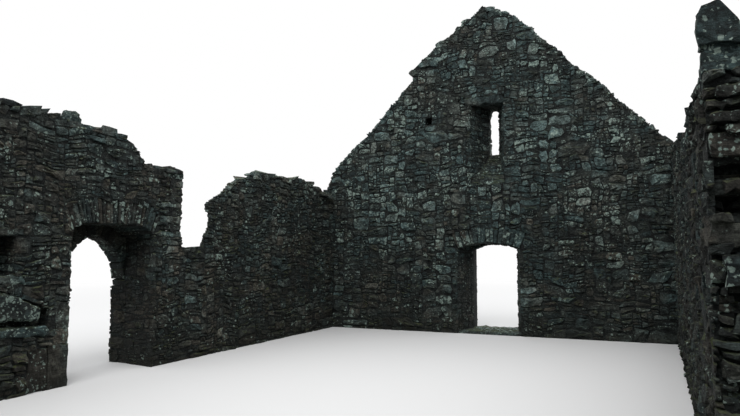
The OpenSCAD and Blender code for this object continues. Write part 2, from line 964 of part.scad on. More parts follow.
// Stone with a slanting top, stood on edge on thin slabs that are bedded in the wall top
module end_upright() {
    slabs = 3;
    base = right_end_h - edge_stray;
    for (i = [0 : slabs - 1]) {
        longer = upright_w / 3 * stray(i + 3);
        translate([right_face - longer / 8, at(right_run) - longer / 2, base + i * bed_slab_t])
            cube([1.6 * upright_w + longer, 1.3 * upright_t + longer, bed_slab_t]);
    }
    translate([right_face, at(right_run) + upright_t, base + slabs * bed_slab_t])
        rotate([90, 0, 0])
            linear_extrude(upright_t)
                scale([upright_w, upright_h])
                    polygon([
                        [-0.08, 0], [1.25, 0], [1.2, 0.45], [0.8, 0.9], [0.45, 1], [0.05, 0.93], [-0.12, 0.75]
                    ]);
}

module right_wall_upright_stone() {
    color(dressed)
        end_upright();
}

module right_wall_footing() {
    color(stone)
        side_wall(right_face, [
            [right_run, footing_h], [right_run + right_breach_w / 2, footing_h - 90],
            [right_far_start, footing_h + 40]
        ], 37);
}

module right_wall_far() {
    color(stone)
        side_wall(right_face, [
            [right_far_start, footing_h + 820], [right_far_start + 240, footing_h + 1500],
            [right_far_start + 700, right_far_h - 640], [right_far_start + 1300, right_far_h - 150],
            [nave_l, right_far_h]
        ], 43);
}

// End gable, which has a window and no doorway
module end_gable_base() {
    color(stone)
        intersection() {
            end_gable_mass();
            zone(-outer_w, outer_w, 0, sill_course_h);
        }
}

module end_gable_window_pier(x0, x1) {
    color(stone)
        difference() {
            intersection() {
                end_gable_mass();
                zone(x0, x1, sill_course_h, win_head_h);
            }
            at_end_window() {
                embrasure();
                frame_room();
            }
        }
}

module end_gable_window_pier_left() {
    end_gable_window_pier(-outer_w, win_x);
}

module end_gable_window_pier_right() {
    end_gable_window_pier(win_x, outer_w);
}

module end_gable_peak() {
    color(stone)
        difference() {
            intersection() {
                end_gable_mass();
                zone(-outer_w, outer_w, win_head_h, sky);
            }
            at_end_window() {
                rear_slabs();
                frame_room();
            }
        }
}

module end_window_sloping_sill() {
    color(stone)
        at_end_window()
            sloping_sill();
}

module end_window_frame() {
    color(dressed)
        at_end_window()
            frame_stones();
}

module end_window_rear_slab() {
    color(dressed)
        at_end_window()
            rear_slabs();
}

door_gable_left();
door_gable_right();
door_gable_head();
door_gable_window_pier_left();
door_gable_window_pier_right();
door_gable_peak();
gable_door_rear_arch();
gable_door_front_arch();
gable_door_threshold();
window_sloping_sill();
window_frame();
window_rear_slab();
left_wall_corner();
left_wall_breach_sill();
left_wall_breach_quoins();
side_door_pier();
side_door_head();
side_door_rear_arch();
side_door_front_arch();
side_door_jamb_stones();
left_wall_niche_stretch();
niche_sill_slab();
niche_lintel();
left_wall_hollow_block();
left_wall_ledge_slab();
wall_top_boulder();
left_wall_far();
right_wall_corner();
right_wall_end_quoins();
right_wall_upright_stone();
right_wall_footing();
right_wall_far();
end_gable_base();
end_gable_window_pier_left();
end_gable_window_pier_right();
end_gable_peak();
end_window_sloping_sill();
end_window_frame();
end_window_rear_slab();
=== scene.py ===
import json
import math

import bmesh
import bpy
import numpy as np
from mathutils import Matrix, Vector, noise


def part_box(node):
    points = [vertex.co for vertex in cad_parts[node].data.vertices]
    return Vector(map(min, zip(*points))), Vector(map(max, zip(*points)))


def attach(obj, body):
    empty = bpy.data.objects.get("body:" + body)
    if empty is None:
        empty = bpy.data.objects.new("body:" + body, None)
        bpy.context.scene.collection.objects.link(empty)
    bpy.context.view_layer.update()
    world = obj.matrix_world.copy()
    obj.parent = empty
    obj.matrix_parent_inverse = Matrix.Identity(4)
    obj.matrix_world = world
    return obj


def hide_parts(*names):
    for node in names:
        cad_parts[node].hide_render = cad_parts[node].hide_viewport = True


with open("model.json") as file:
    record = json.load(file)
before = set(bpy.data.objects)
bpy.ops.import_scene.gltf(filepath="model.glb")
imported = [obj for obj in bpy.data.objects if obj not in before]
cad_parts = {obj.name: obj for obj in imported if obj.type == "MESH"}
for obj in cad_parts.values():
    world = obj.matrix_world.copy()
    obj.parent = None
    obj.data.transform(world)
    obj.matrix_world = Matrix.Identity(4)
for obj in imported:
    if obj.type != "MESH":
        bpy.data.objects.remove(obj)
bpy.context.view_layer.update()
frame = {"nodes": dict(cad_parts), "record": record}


# The hearting of the walls: earth and lime mortar packed round small stones. It is laid with the facing
# stones, and shows only as the bed between them. Where it is washed out its colour goes near black: painted
# shade for deep open joints.
nodes = frame["nodes"]
slot_of = {part["node"]: part["material_slot"] for part in frame["record"]["subparts"]}
rubble_nodes = [name for name in slot_of if slot_of[name] == "rubble_stone"]


def new_material(name, roughness):
    """A material, its node tree and its shader."""
    material = bpy.data.materials.new(name)
    material.use_nodes = True
    tree = material.node_tree
    shader = tree.nodes["Principled BSDF"]
    shader.inputs["Roughness"].default_value = roughness
    shader.inputs["Specular IOR Level"].default_value = 0.25
    return material, tree, shader


def add_node(tree, kind, inputs=None, **settings):
    """Adds a node; inputs maps a socket to a value or to another node's output."""
    node = tree.nodes.new("ShaderNode" + kind)
    for setting, value in settings.items():
        setattr(node, setting, value)
    for socket, value in (inputs or {}).items():
        if isinstance(value, bpy.types.NodeSocket):
            tree.links.new(value, node.inputs[socket])
        else:
            node.inputs[socket].default_value = value
    return node


def add_noise(tree, where, scale, detail=4.0, roughness=0.6):
    """A grey noise with about this many grains a metre."""
    inputs = {"Vector": where, "Scale": scale, "Detail": detail, "Roughness": roughness}
    return add_node(tree, "TexNoise", inputs).outputs[0]


def add_math(tree, operation, first, second):
    """The sum, product or the like of two values."""
    return add_node(tree, "Math", {0: first, 1: second}, operation=operation).outputs[0]


def add_ramp(tree, value, stops):
    """A ramp over these stops: each is a place and a grey or a colour."""
    node = add_node(tree, "ValToRGB", {"Fac": value})
    while len(node.color_ramp.elements) < len(stops):
        node.color_ramp.elements.new(0.5)
    for element, (place, shade) in zip(node.color_ramp.elements, stops):
        element.position = place
        element.color = (shade, shade, shade, 1) if isinstance(shade, float) else shade
    return node.outputs[0]


def add_mix(tree, factor, first, second, blend="MIX"):
    """The second colour laid over the first."""
    mixed = add_node(tree, "Mix", {0: factor, 6: first, 7: second}, data_type="RGBA", blend_type=blend)
    return mixed.outputs[2]


def paint(*colour):
    """A colour written as screen values, each from 11 to 255."""
    return *(((value / 255 + 0.055) / 1.055) ** 2.4 for value in colour), 1.0


mortar, tree, shader = new_material("earth_mortar", 0.95)
place = add_node(tree, "TexCoord").outputs["Object"]
packing = add_node(tree, "TexVoronoi", {"Vector": place, "Scale": 38.0}).outputs["Distance"]
grit = add_noise(tree, place, 60.0, 5.0, 0.8)
washed_and_shaded = add_noise(tree, place, 6.0, 5.0, 0.7)
# The darkest stop is painted shade, standing for the deep gaps where the mortar is washed out.
earth_colours = [(0.36, paint(12, 14, 14)), (0.5, paint(27, 31, 30)), (0.7, paint(56, 61, 57))]
earth = add_ramp(tree, washed_and_shaded, earth_colours)
earth = add_mix(tree, 0.7, earth, add_ramp(tree, packing, [(0.1, 0.7), (0.7, 0.3)]), "OVERLAY")
earth = add_mix(tree, 0.9, earth, add_ramp(tree, grit, [(0.38, 0.1), (0.66, 0.9)]), "OVERLAY")
tree.links.new(earth, shader.inputs["Base Color"])
crumble = add_mix(tree, 0.5, packing, grit)
bump = add_node(tree, "Bump", {"Height": crumble, "Strength": 1.0, "Distance": 0.03}, invert=True)
tree.links.new(bump.outputs[0], shader.inputs["Normal"])
for name in rubble_nodes:
    nodes[name].data.materials.clear()
    nodes[name].data.materials.append(mortar)


# The stones: thin slaty rubble, split along its bedding, green grey to brown, weathered dark. Pale lichen
# grows in round crusts, thickest high up, moss stains what faces the sky, and the colour turns darker and
# browner towards the foot of a wall.
stone, tree, shader = new_material("slaty_stone", 0.9)
place = add_node(tree, "TexCoord").outputs["Object"]
stone_values = add_node(tree, "Attribute", attribute_name="stone").outputs["Color"]
own = add_node(tree, "SeparateColor", {"Color": stone_values})
tone, lichened, warmth = own.outputs[0], own.outputs[1], own.outputs[2]
height = add_node(tree, "SeparateXYZ", {"Vector": place}).outputs[2]
normal = add_node(tree, "NewGeometry").outputs["Normal"]
facing = add_node(tree, "SeparateXYZ", {"Vector": normal}).outputs[2]
laminae_place = add_node(tree, "Mapping", {"Vector": place, "Scale": (1.0, 1.0, 5.0)}).outputs[0]
laminae = add_noise(tree, laminae_place, 14.0, 5.0, 0.7)
mottle = add_noise(tree, place, 26.0, 6.0, 0.75)
zones = add_noise(tree, place, 1.5, 4.0)
paler_zones = add_ramp(tree, add_noise(tree, place, 0.8, 3.0), [(0.4, 0.0), (0.62, 0.3)])
tone = add_math(tree, "ADD", tone, paler_zones)
cold = add_ramp(tree, tone, [(0.0, paint(22, 30, 31)), (0.5, paint(48, 62, 62)), (1.0, paint(96, 114, 112))])
warm = add_ramp(tree, tone, [(0.0, paint(30, 29, 26)), (0.5, paint(56, 54, 48)), (1.0, paint(92, 89, 81))])
browner = add_math(tree, "ADD", warmth, add_ramp(tree, zones, [(0.45, 0.0), (0.6, 0.6)]))
colour = add_mix(tree, browner, cold, warm)
for pattern in (laminae, mottle, add_noise(tree, place, 8.0, 5.0, 0.7)):
    contrast = add_ramp(tree, pattern, [(0.36, 0.12), (0.66, 0.88)])
    colour = add_mix(tree, 0.85, colour, contrast, "OVERLAY")
# The colour turns darker and browner towards the foot of a wall.
darker_towards_foot = add_ramp(tree, add_math(tree, "ADD", height, zones), [(0.3, 0.9), (0.7, 0.45), (1.0, 0.0)])
colour = add_mix(tree, darker_towards_foot, colour, paint(28, 28, 23))
sky_facing = add_ramp(tree, facing, [(0.3, 0.0), (0.85, 1.0)])
moss_patches = add_ramp(tree, add_noise(tree, place, 3.5, 5.0), [(0.42, 0.0), (0.62, 0.8)])
moss = add_math(tree, "MULTIPLY", sky_facing, moss_patches)
moss_tufts = add_noise(tree, place, 120.0, 2.0)
moss_colour = add_ramp(tree, moss_tufts, [(0.3, paint(36, 43, 25)), (0.7, paint(78, 86, 50))])
colour = add_mix(tree, moss, colour, moss_colour)
wander = add_node(tree, "TexNoise", {"Vector": place, "Scale": 34.0, "Detail": 3.0}).outputs["Color"]
ragged_place = {0: wander, 1: (0.045, 0.045, 0.045), 2: place}
wandered = add_node(tree, "VectorMath", ragged_place, operation="MULTIPLY_ADD").outputs[0]
thick = add_ramp(tree, add_noise(tree, place, 2.3, 4.0), [(0.4, 0.3), (0.64, 1.0)])
colonies = add_math(tree, "MULTIPLY", add_ramp(tree, lichened, [(0.0, 0.4), (1.0, 1.0)]), thick)
colonies = add_math(tree, "MAXIMUM", colonies, add_math(tree, "SUBTRACT", lichened, 1.0))
crust_colours = [(0.35, paint(78, 92, 87)), (0.5, paint(112, 127, 120)), (0.68, paint(150, 163, 153))]
crust_colour = add_ramp(tree, mottle, crust_colours)
for crusts_each_metre, rarest, widest in ((34.0, 0.1, 1.0), (13.0, 0.3, 0.95)):
    crusts = add_node(tree, "TexVoronoi", {"Vector": wandered, "Scale": crusts_each_metre})
    rank = add_node(tree, "SeparateColor", {"Color": crusts.outputs["Color"]}).outputs[0]
    reach = add_math(tree, "MULTIPLY", add_ramp(tree, rank, [(rarest, 0.0), (1.0, widest)]), colonies)
    inside_crust = add_math(tree, "SUBTRACT", reach, crusts.outputs["Distance"])
    covered = add_ramp(tree, inside_crust, [(0.0, 0.0), (0.1, 0.85)])
    colour = add_mix(tree, covered, colour, crust_colour)
tree.links.new(colour, shader.inputs["Base Color"])
grain = add_noise(tree, place, 80.0, 4.0, 0.75)
relief = add_mix(tree, 0.45, add_mix(tree, 0.5, laminae, mottle), grain)
bump = add_node(tree, "Bump", {"Height": relief, "Strength": 1.0, "Distance": 0.035})
tree.links.new(bump.outputs[0], shader.inputs["Normal"])


# Gable with the doorway: rubble brought up in rough courses, each stone bedded on the lowest place of the
# work so far and cut by eye to the wall's edge. Its faces stand a little proud of the mortar.
# A face's key is the way it looks, in fortieths along x, y and z, and its plane's place, in steps of 5 mm.
square_on = 40
slanting = 20
planes_each_metre = 200
smallest_triangle = 1e-7


def flat_faces(names):
    """The triangles of these nodes, gathered by the plane that they lie in."""
    faces = {}
    for name in names:
        mesh = nodes[name].data
        mesh.calc_loop_triangles()
        points = np.empty(len(mesh.vertices) * 3)
        mesh.vertices.foreach_get("co", points)
        corners = np.empty(len(mesh.loop_triangles) * 3, int)
        mesh.loop_triangles.foreach_get("vertices", corners)
        for triangle in points.reshape(-1, 3)[corners.reshape(-1, 3)]:
            normal = np.cross(triangle[1] - triangle[0], triangle[2] - triangle[0])
            size = np.linalg.norm(normal)
            if size > smallest_triangle:
                normal /= size
                plane = int(np.round(normal @ triangle[0] * planes_each_metre))
                key = (*np.round(normal * square_on).astype(int), plane)
                faces.setdefault(key, []).append(triangle)
    return faces


grid = 0.015
dead_level = 0.999
all_faces = flat_faces(nodes)
rubble_faces = flat_faces(rubble_nodes)


class WallFace:
    """A flat face of rubble: its open part as a grid of cells, across and up from one corner."""

    def __init__(self, key):
        triangles = np.array(rubble_faces[key])
        first = triangles[0]
        normal = np.cross(first[1] - first[0], first[2] - first[0])
        self.normal = normal / np.linalg.norm(normal)
        level = abs(self.normal[2]) > dead_level
        self.across = np.array([1.0, 0, 0]) if level else np.cross([0, 0, 1], self.normal)
        self.across /= np.linalg.norm(self.across)
        self.up = np.cross(self.normal, self.across)
        self.base = self.normal * (self.normal @ first[0])
        spread = triangles.reshape(-1, 3)
        self.low = np.array([(spread @ self.across).min(), (spread @ self.up).min()])
        high = np.array([(spread @ self.across).max(), (spread @ self.up).max()])
        self.cells = np.maximum(np.ceil((high - self.low) / grid).astype(int), 1)
        self.open = self.fill(triangles)
        # What looks the other way within two steps of this plane is a piece that stands against it.
        for joint in range(-2, 3):
            behind = (*(-k for k in key[:3]), joint - key[3])
            if behind in all_faces:
                self.open &= ~self.fill(np.array(all_faces[behind]))
        padded = np.pad(self.open, 2)
        beside = padded[1:-1, 2:] | padded[1:-1, :-2]
        over_or_under = padded[2:, 1:-1] | padded[:-2, 1:-1]
        self.within = padded[1:-1, 1:-1] | over_or_under | beside

    def fill(self, triangles):
        """The cells whose middles lie in these triangles."""
        filled = np.zeros(self.cells[::-1], bool)
        for triangle in triangles:
            a, b, c = (np.column_stack([triangle @ self.across, triangle @ self.up]) - self.low) / grid
            first = np.clip(np.floor(np.minimum(np.minimum(a, b), c)).astype(int), 0, self.cells)
            last = np.clip(np.ceil(np.maximum(np.maximum(a, b), c)).astype(int), 0, self.cells)
            if (last <= first).any():
                continue
            x, y = np.meshgrid(np.arange(first[0], last[0]) + 0.5, np.arange(first[1], last[1]) + 0.5)
            sides = [(q[0] - p[0]) * (y - p[1]) - (q[1] - p[1]) * (x - p[0])
                     for p, q in ((a, b), (b, c), (c, a))]
            inside = (np.minimum.reduce(sides) >= 0) | (np.maximum.reduce(sides) <= 0)
            filled[first[1]:last[1], first[0]:last[0]] |= inside
        return filled

    def holds(self, points):
        """Whether places on the face lie on its open part, or within a cell of it."""
        cell = np.floor(points / grid).astype(int) + 1
        limit = np.array(self.within.shape[::-1]) - 1
        inside = ((cell >= 0) & (cell <= limit)).all(-1)
        cell = np.clip(cell, 0, limit)
        return inside & self.within[cell[..., 1], cell[..., 0]]

    def place(self, spot, out):
        """Points in space for places on the face, and how far they stand out from it."""
        spot = spot + self.low
        flat = self.base + spot[..., :1] * self.across + spot[..., 1:] * self.up
        return flat + out[..., None] * self.normal


def longest_run(flags):
    """First and last place of the longest unbroken run of true flags."""
    edges = np.flatnonzero(np.diff(np.concatenate([[0], flags.astype(int), [0]])))
    if not len(edges):
        return 0, 0
    best = int(np.argmax(edges[1::2] - edges[::2]))
    return edges[2 * best], edges[2 * best + 1]


# Four sorts of stone by height, and for each way of building how often each sort is picked and how many
# times its height a stone is long.
stone_heights = ((0.028, 0.05), (0.05, 0.08), (0.08, 0.13), (0.14, 0.21))
slaty = ((0.42, 0.3, 0.2, 0.08), (1.3, 4.2))
blocky = ((0.28, 0.28, 0.27, 0.17), (1.05, 3.3))
lap = 0.06
level_within = 0.012
step_least, step_most, step_evened = 0.03, 0.16, 0.35
thinnest, shortest, longest = 0.025, 0.06, 0.46
tallest_in_gap = 1.2
no_sliver_left = 1.35


def bed_stones(face, random, size, build):
    """Left, right, bottom and top of stones over the whole face, each on the lowest place so far."""
    often, proportions = build
    wide, tall = face.cells * grid + 2 * lap
    columns = np.zeros(int(wide / grid))
    stones = []
    while columns.min() < tall:
        start = int(np.argmin(columns))
        level = columns[start]
        run = start + 1
        while run < len(columns) and columns[run] <= level + level_within:
            run += 1
        room = (run - start) * grid
        height = size * random.uniform(*stone_heights[random.choice(4, p=often)])
        steps = [columns[i] - level for i in (start - 1, run) if 0 <= i < len(columns)]
        if steps and step_least < min(steps) < step_most and random.random() < step_evened:
            height = min(steps)
        height = min(height, max(room * tallest_in_gap, thinnest))
        length = min(max(height * random.uniform(*proportions), shortest * size), longest)
        if room < length * no_sliver_left:
            length = room
        end = start + max(int(round(length / grid)), 1)
        bottom = columns[start:end].max()
        stones.append((start * grid, end * grid, bottom, bottom + height))
        columns[start:end] = bottom + height
    return np.array(stones) - lap


least_open = 0.3
open_column = 0.35
narrowest_run = 3
cells_past_edge = 2


def fit_stones(face, stones):
    """The stones on the face's open part, drawn in to it, and for each a heart that lies inside."""
    kept = []
    for left, right, bottom, top in stones:
        first, low = (max(int(round(v / grid)), 0) for v in (left, bottom))
        last, high = (max(int(round(v / grid)), 1) for v in (right, top))
        part = face.open[low:max(high, low + 1), first:max(last, first + 1)]
        if part.size == 0 or part.mean() < least_open:
            continue
        if not part.all():
            begin, end = longest_run(part.mean(0) > open_column)
            if end - begin < narrowest_run:
                continue
            if end < part.shape[1]:
                right = (first + end + cells_past_edge) * grid
            if begin > 0:
                left = (first + begin - cells_past_edge) * grid
            part = part[:, begin:end]
            first += begin
        rows, columns = np.nonzero(part)
        heart = ((first + columns.mean() + 0.5) * grid, (low + rows.mean() + 0.5) * grid)
        kept.append((left, right, bottom, top, *heart))
    return np.array(kept)


def waves(spots, random, length, count=9):
    """A smooth field over the places of a face, with waves of about this length."""
    heading = random.uniform(0, 2 * math.pi, count)
    pace = 2 * math.pi / (length * random.uniform(0.7, 1.5, count))
    ahead = spots[..., :1] * np.cos(heading) * pace + spots[..., 1:] * np.sin(heading) * pace
    return np.sin(ahead + random.uniform(0, 2 * math.pi, count)).sum(-1) / math.sqrt(count / 2)


corner_bite, edge_bite, bite_power = 0.6, 0.24, 1.6
point_slide = 0.35
wedge_spread, lean_spread = 0.16, 0.35
too_square_to_lean = 0.6


def box_outline(count, along, aside, random, half):
    """Angular outlines in boxes of these half sizes, with so many points along them and up their sides."""
    run, rise = np.linspace(-1, 1, along + 1), np.linspace(-1, 1, aside + 1)
    u = np.concatenate([run[:-1], np.ones(aside), -run[:-1], -np.ones(aside)])
    v = np.concatenate([-np.ones(along), rise[:-1], np.ones(along), -rise[:-1]])
    sides = len(u)
    on_end, on_bed = np.abs(u) == 1, np.abs(v) == 1
    corner = on_end & on_bed
    bite = np.where(corner, corner_bite, edge_bite) * half.min(1)[:, None]
    bite_u = np.where(on_end, random.random((count, sides)) ** bite_power * bite, 0)
    bite_v = np.where(on_bed, random.random((count, sides)) ** bite_power * bite, 0)
    slide = np.where(corner, 0, random.uniform(-point_slide, point_slide, (count, sides)))
    u = u + np.where(on_bed, slide / along, 0)
    v = v + np.where(on_end, slide / aside, 0)
    x = u * half[:, :1] - np.sign(u) * bite_u
    y = v * half[:, 1:] - np.sign(v) * bite_v
    wedge = random.normal(0, wedge_spread, (count, 1))
    lean = random.normal(0, lean_spread, (count, 1))
    y = y * (1 - np.abs(wedge) + wedge * x / half[:, :1])
    long_enough = np.clip(half[:, :1] / half[:, 1:] - too_square_to_lean, 0, 1)
    return np.stack([x + lean * y * long_enough, y], -1)


# The rings of points on a stone: their size, the share of its height above the mortar, and their roughness.
bed_ring = (1.0, None, 0.0)
arris_ring = (0.985, 0.55, 0.5)
crest_ring = (0.4, 1.05, 1.2)
only_front_ring = (0.94, 0.85, 0.6)
bedded_depth = 0.03
least_half = 0.008
tallest_front, lowest_front = 0.05, 0.001
tilt_spread, tilt_most = 0.11, 0.012
narrowest_stone = 0.012


def shape_stones(face, bend, stones, random, along, aside, rings, proud):
    """The stones' meshes, as points and faces: rings of points from the bed out to a rough, tilted front."""
    count = len(stones)
    sides = 2 * (along + aside)
    middle = (stones[:, :4:2] + stones[:, 1:4:2]) / 2
    half = (stones[:, 1:4:2] - stones[:, :4:2]) / 2
    half = np.maximum(half - random.uniform(0.0, 0.005, half.shape), least_half)
    outline = bend(middle[:, None] + box_outline(count, along, aside, random, half))
    heart = bend(stones[:, 4:])
    # Each point is drawn in towards the heart until it lies on the face.
    spoke = outline - heart[:, None]
    inner, outer = np.zeros((count, sides)), np.ones((count, sides))
    for _ in range(6):
        halfway = (inner + outer) / 2
        held = face.holds(heart[:, None] + spoke * halfway[..., None])
        inner, outer = np.where(held, halfway, inner), np.where(held, outer, halfway)
    reach = np.where(face.holds(outline), 1, inner * random.uniform(0.93, 1, (count, 1)))
    outline = heart[:, None] + spoke * reach[..., None]
    seat = outline.mean(1, keepdims=True)
    spoke = outline - seat
    broad = np.sqrt((spoke ** 2).sum(-1)).mean(1)
    narrow = np.abs(spoke[..., 1]).mean(1)
    stand = np.clip(random.normal(*proud, count), lowest_front, tallest_front)[:, None]
    tilt = random.normal(0, tilt_spread, (count, 1, 2))
    rough = np.clip(narrow * 0.22, 0.003, 0.011)[:, None]
    seeds = [np.random.default_rng(random.integers(1 << 30)).integers(1 << 30) for _ in range(2)]
    swells = tuple(zip((0.8, 0.5), seeds, (0.16, 0.07)))
    front_ring = (random.uniform(0.6, 0.86, (count, 1)), 1.0, 1.0)
    if rings == 2:
        steps = (bed_ring, only_front_ring)
    else:
        steps = (bed_ring, arris_ring, front_ring, crest_ring)[:rings]
    spots, outs = [], []
    for scale, share, wander in steps:
        scale = scale * (1 + random.uniform(-0.08, 0.08, (count, sides)) * wander)
        ring = spoke * scale[..., None]
        lean = np.clip((ring * tilt).sum(-1), -tilt_most, tilt_most)
        spots.append(seat + ring)
        if share is None:
            outs.append(np.full((count, sides), -bedded_depth))
            continue
        relief = sum(size * waves(spots[-1], np.random.default_rng(seed), length)
                     for size, seed, length in swells)
        relief = relief + random.normal(0, 0.35, (count, sides))
        outs.append(np.maximum(stand * share + lean + relief * rough * wander, 0.002 + 0.002 * share))
    spots.append(seat + spoke[:, :1] * random.uniform(-0.2, 0.2, (count, 1, 1)))
    outs.append(np.maximum(stand * 1.1 + random.normal(0, 0.7, (count, 1)) * rough, 0.005))
    keep = (broad > narrowest_stone) & face.holds(heart)
    points = face.place(np.concatenate(spots, 1), np.concatenate(outs, 1))[keep]
    ring = np.arange(sides)
    beside = (ring + 1) % sides
    bands = []
    for low in range(0, (rings - 1) * sides, sides):
        high = low + sides
        bands.append(np.column_stack([low + ring, low + beside, high + beside, high + ring]))
    quads = np.concatenate(bands)
    last = (rings - 1) * sides
    fan = np.column_stack([last + ring, last + beside, np.full(sides, last + sides)])
    start = np.arange(len(points))[:, None, None] * points.shape[1]
    return points, (quads[None] + start).reshape(-1, 4), (fan[None] + start).reshape(-1, 3)


foot_height, full_lichen = 0.4, 2.2
middling_height = 0.1


def join_stones(name, parts, random, look):
    """One piece from many stones' meshes; look is their usual tone and warmth, and the share crusted over."""
    points, quads, fans, looks = [], [], [], []
    total = 0
    for part_points, part_quads, part_fans in parts:
        count, each = part_points.shape[:2]
        quads.append(part_quads + total)
        fans.append(part_fans + total)
        points.append(part_points.reshape(-1, 3))
        total += count * each
        # Stones lying higher are paler and more often crusted; those lower down are darker and browner.
        high = np.clip((part_points[..., 2].mean(1) - foot_height) / full_lichen, 0.1, 1)
        big = np.clip(np.ptp(part_points[..., 2], 1) / middling_height - 0.8, -0.5, 1)
        crusted = random.random(count) < look[2] * (0.4 + high) * (0.6 + big)
        own = np.ones((count, 4), np.float32)
        tones = random.normal(look[0], 0.14, count) + 0.12 * high + 0.1 * big + 0.1 * crusted
        own[:, 0] = np.clip(tones, 0, 1)
        own[:, 1] = np.clip(random.random(count) ** 1.5 * (0.3 + 0.5 * high) + 0.8 * crusted, 0, 1)
        own[:, 2] = np.clip(random.normal(look[1], 0.24, count) + 0.2 * (1 - high), 0, 1)
        looks.append(np.repeat(own, each, 0))
    points, quads, fans = np.concatenate(points), np.concatenate(quads), np.concatenate(fans)
    points[:, 2] = np.maximum(points[:, 2], 0)
    mesh = bpy.data.meshes.new(name)
    mesh.vertices.add(len(points))
    mesh.vertices.foreach_set("co", points.ravel())
    mesh.loops.add(quads.size + fans.size)
    mesh.loops.foreach_set("vertex_index", np.concatenate([quads.ravel(), fans.ravel()]))
    mesh.polygons.add(len(quads) + len(fans))
    starts = np.concatenate([np.arange(len(quads)) * 4, quads.size + np.arange(len(fans)) * 3])
    mesh.polygons.foreach_set("loop_start", starts)
    mesh.update(calc_edges=True)
    layer = mesh.attributes.new("stone", "FLOAT_COLOR", "POINT")
    layer.data.foreach_set("color", np.concatenate(looks).ravel())
    mesh.shade_flat()
    mesh.materials.append(stone)
    piece = bpy.data.objects.new(name, mesh)
    bpy.context.scene.collection.objects.link(piece)
    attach(piece, "root")


def faces_where(inside):
    """Keys of the rubble faces whose middle and key pass the test."""
    return [key for key, triangles in rubble_faces.items()
            if inside(np.array(triangles).reshape(-1, 3).mean(0), key)]


steepest_sill = 32
sill_low, sill_high, sill_half_width = 2.9, 3.4, 0.5


def is_sill(middle, key):
    """The slope under a window's light."""
    return (slanting <= key[2] < steepest_sill and abs(middle[1]) > nave_end
            and sill_low < middle[2] < sill_high and abs(middle[0]) < sill_half_width)


def steep_faces(inside):
    """Keys of the faces that stones face: the upright and the steep ones, and the windows' slopes."""
    return faces_where(lambda middle, key: (abs(key[2]) < slanting or is_sill(middle, key))
                       and inside(middle, key))


# Points along and up a small, a middling and a large stone, and its rings. Past the camera's view, stones
# count as one sort smaller.
close_up = ((3, 1, 2), (4, 1, 3), (5, 2, 4))
far_off = ((2, 1, 2), (3, 1, 3), (4, 1, 3))
middling_from, large_from = 0.05, 0.09
out_of_sight, counted_less = -2.0, 0.04
smallest_face = 0.02


def face_wall(name, keys, seed, detail, look, build=slaty, size=1.0, proud=(0.013, 0.009)):
    """Lays stones over these faces; proud is how far they usually stand out, and how much that varies."""
    random = np.random.default_rng(seed)
    bend_seeds = [np.random.default_rng(seed * 10 + n).integers(1 << 30) for n in range(3)]

    def bend(spots):
        """The places moved a little, so that courses rise and fall."""
        rise = 0.02 * waves(spots, np.random.default_rng(bend_seeds[0]), 0.9)
        rise += 0.008 * waves(spots, np.random.default_rng(bend_seeds[1]), 0.28)
        shift = 0.012 * waves(spots, np.random.default_rng(bend_seeds[2]), 0.4)
        return spots + np.stack([shift, rise], -1)

    parts = []
    for key in keys:
        face = WallFace(key)
        if face.open.sum() * grid * grid < smallest_face:
            continue
        stones = fit_stones(face, bed_stones(face, random, size, build))
        if not len(stones):
            continue
        tall = (stones[:, 3] - stones[:, 2]) / size
        along_nave = face.place(stones[:, 4:], np.zeros(len(stones)))[:, 1]
        tall = np.where(along_nave < out_of_sight, tall - counted_less, tall)
        small, large = tall < middling_from, tall >= large_from
        for (along, aside, rings), group in zip(detail, (small, ~small & ~large, large)):
            if group.any():
                parts.append(shape_stones(face, bend, stones[group], random, along, aside, rings, proud))
    join_stones(name, parts, random, look)


nave_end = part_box("door_gable_left")[0].y
nave_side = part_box("left_wall_corner")[1].x
outer_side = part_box("left_wall_corner")[0].x
near = 0.01
past_middle = 0.5
openings_half_width = 1.3
outer_size = 1.45
flush = (0.005, 0.004)
gable_look = (0.16, 0.0, 0.24)
face_wall("door_gable_nave_stones",
          steep_faces(lambda m, k: k[1] == -square_on and abs(m[1] - nave_end) < near),
          seed=1, detail=close_up, look=gable_look, build=blocky, size=1.2)
face_wall("door_gable_outer_stones",
          steep_faces(lambda m, k: k[1] == square_on and m[1] > nave_end + past_middle),
          seed=2, detail=far_off, look=gable_look, build=blocky, size=outer_size)
face_wall("door_gable_reveal_stones",
          steep_faces(lambda m, k: m[1] > nave_end + near and abs(k[1]) < square_on
                      and abs(m[0]) < openings_half_width),
          seed=3, detail=close_up, look=gable_look, size=0.9, proud=flush)


# Gable doorway: a rear arch and a front arch of thin voussoirs, split slabs set on edge and shut round the
# opening, their joints filled with mortar. Two worn slabs make the threshold.
def split_stones(work):
    """The vertices of each stone in a mesh of many, in the order that the mesh has them."""
    seen = set()
    for first in work.verts:
        if first in seen:
            continue
        one, front = [], [first]
        seen.add(first)
        while front:
            vertex = front.pop()
            one.append(vertex)
            for edge in vertex.link_edges:
                other = edge.other_vert(vertex)
                if other not in seen:
                    seen.add(other)
                    front.append(other)
        yield one


longest_edge = 0.06
halvings = 4
same_place = 1e-5
wear_waves = ((3, 0.4), (9, 1.0), (23, 0.7), (61, 0.45))
# Blender's vector noise takes its seed from the clock, unless it is given one.
wear_seed = 1795695150
noise.seed_set(wear_seed)


